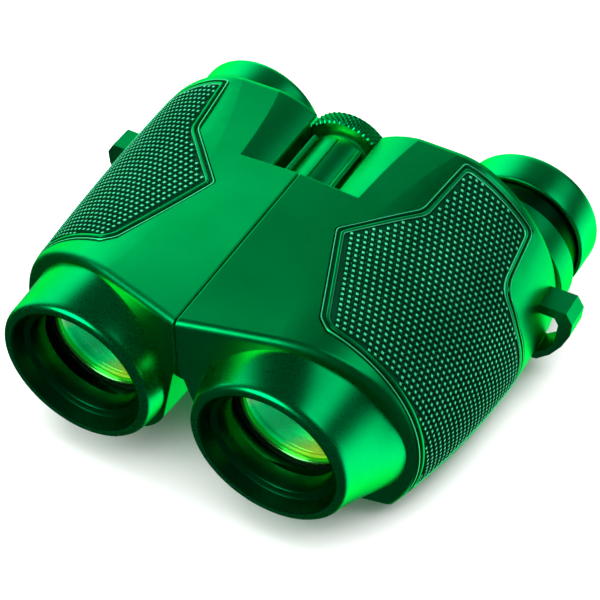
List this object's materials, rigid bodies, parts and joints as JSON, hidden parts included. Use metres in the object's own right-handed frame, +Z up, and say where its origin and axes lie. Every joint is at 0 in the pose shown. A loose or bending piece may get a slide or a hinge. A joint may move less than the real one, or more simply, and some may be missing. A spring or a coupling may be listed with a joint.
{
  "type": "compact binoculars",
  "caption": "Folding compact binoculars with swept prism bodies, deep hooded objectives, centre focusing wheel, twist-up eyecups and studded side grips.",
  "frame": {"origin": "centre of the bounding box, on the plane of the flat undersides", "axes": "+X to the right half, -Y the way the objectives look, +Z up"},
  "size_m": [0.12, 0.1008, 0.05],
  "materials": {
    "body_green": "satin green lacquer",
    "hood_green": "satin green lacquer",
    "knob_green": "satin green, knurled",
    "sleeve_green": "dark green gloss",
    "cup_green": "satin green",
    "grip_rubber": "studded green rubber",
    "black_alloy": "matt black",
    "coated_glass": "coated",
    "prism_glass": "polished",
    "steel": "zinc plated",
    "brass": "turned",
    "nylon": "moulded",
    "seal_rubber": "matt"
  },
  "bodies": {
    "left_half": {"left_body_shell": "body_green", "left_bottom_cover": "body_green", "left_cover_screws": "steel", "left_grip_panel": "grip_rubber", "left_objective_hood": "hood_green", "left_prism_shelf": "black_alloy", "left_shelf_screws": "steel", "left_rear_prism": "prism_glass", "left_rear_prism_clip": "steel", "left_front_prism": "prism_glass", "left_front_prism_clip": "steel", "left_eyepiece_tube": "black_alloy", "left_ocular_cell": "black_alloy", "left_field_lens": "coated_glass", "left_eye_lens": "coated_glass", "left_ocular_ring": "black_alloy", "left_eyepiece_collar": "body_green", "front_hinge_pin": "steel", "hinge_tube": "steel", "hinge_barrel": "body_green", "barrel_screws": "steel", "knob_washer": "nylon"},
    "right_half": {"right_body_shell": "body_green", "right_bottom_cover": "body_green", "right_cover_screws": "steel", "right_grip_panel": "grip_rubber", "right_objective_hood": "hood_green", "right_prism_shelf": "black_alloy", "right_shelf_screws": "steel", "right_rear_prism": "prism_glass", "right_rear_prism_clip": "steel", "right_front_prism": "prism_glass", "right_front_prism_clip": "steel", "right_eyepiece_tube": "black_alloy"},
    "left_objective": {"left_objective_barrel": "black_alloy", "left_objective_lens": "coated_glass", "left_objective_ring": "black_alloy", "left_barrel_seal": "seal_rubber", "left_focus_arm": "black_alloy", "focus_nut": "brass", "nut_circlip": "steel"},
    "right_objective": {"right_objective_barrel": "black_alloy", "right_objective_lens": "coated_glass", "right_objective_ring": "black_alloy", "right_barrel_seal": "seal_rubber", "right_focus_arm": "black_alloy"},
    "focus_drive": {"focus_knob": "knob_green", "focus_screw": "brass", "knob_cap": "knob_green", "knob_screw": "steel"},
    "dioptre": {"dioptre_ring": "body_green"},
    "right_ocular": {"right_ocular_cell": "black_alloy", "right_field_lens": "coated_glass", "right_eye_lens": "coated_glass", "right_ocular_ring": "black_alloy"},
    "left_cup_slide": {"left_eyecup_sleeve": "sleeve_green"},
    "right_cup_slide": {"right_eyecup_sleeve": "sleeve_green"},
    "left_cup": {"left_eyecup": "cup_green"},
    "right_cup": {"right_eyecup": "cup_green"}
  },
  "joints": [
    {"name": "fold", "type": "hinge", "parent": "left_half", "child": "right_half", "pos_m": [0, 0, 0.0383], "axis": [0, 1, 0], "range_deg": [0, 27]},
    {"name": "focus_turn", "type": "hinge", "parent": "left_half", "child": "focus_drive", "pos_m": [0, 0, 0.0383], "axis": [0, 1, 0], "range_deg": [-60.3, 300.5]},
    {"name": "left_focus_slide", "type": "slide", "parent": "left_half", "child": "left_objective", "axis": [0, -1, 0], "range_m": [-0.0005, 0.0025]},
    {"name": "right_focus_slide", "type": "slide", "parent": "right_half", "child": "right_objective", "axis": [0, -1, 0], "range_m": [-0.00051, 0.00251]},
    {"name": "dioptre_turn", "type": "hinge", "parent": "right_half", "child": "dioptre", "pos_m": [0.03596, 0.0396, 0.0179], "axis": [0, 1, 0], "range_deg": [-60.3, 60.3]},
    {"name": "right_ocular_slide", "type": "slide", "parent": "right_half", "child": "right_ocular", "axis": [0, 1, 0], "range_m": [-0.001, 0.001]},
    {"name": "left_cup_retract", "type": "slide", "parent": "left_half", "child": "left_cup_slide", "axis": [0, -1, 0], "range_m": [0, 0.0055]},
    {"name": "left_cup_twist", "type": "hinge", "parent": "left_cup_slide", "child": "left_cup", "pos_m": [-0.03596, 0.0396, 0.0179], "axis": [0, 1, 0], "range_deg": [0, 110.3]},
    {"name": "right_cup_retract", "type": "slide", "parent": "right_half", "child": "right_cup_slide", "axis": [0, -1, 0], "range_m": [0, 0.0055]},
    {"name": "right_cup_twist", "type": "hinge", "parent": "right_cup_slide", "child": "right_cup", "pos_m": [0.03596, 0.0396, 0.0179], "axis": [0, 1, 0], "range_deg": [0, 110.3]}
  ],
  "couplings": [
    {"joint": "focus_turn", "follows": "left_focus_slide", "rad_per_m": 2094.4},
    {"joint": "right_focus_slide", "follows": "left_focus_slide", "ratio": 1},
    {"joint": "dioptre_turn", "follows": "right_ocular_slide", "rad_per_m": 1047.2},
    {"joint": "left_cup_twist", "follows": "left_cup_retract", "rad_per_m": 349.07},
    {"joint": "right_cup_twist", "follows": "right_cup_retract", "rad_per_m": 349.07}
  ]
}
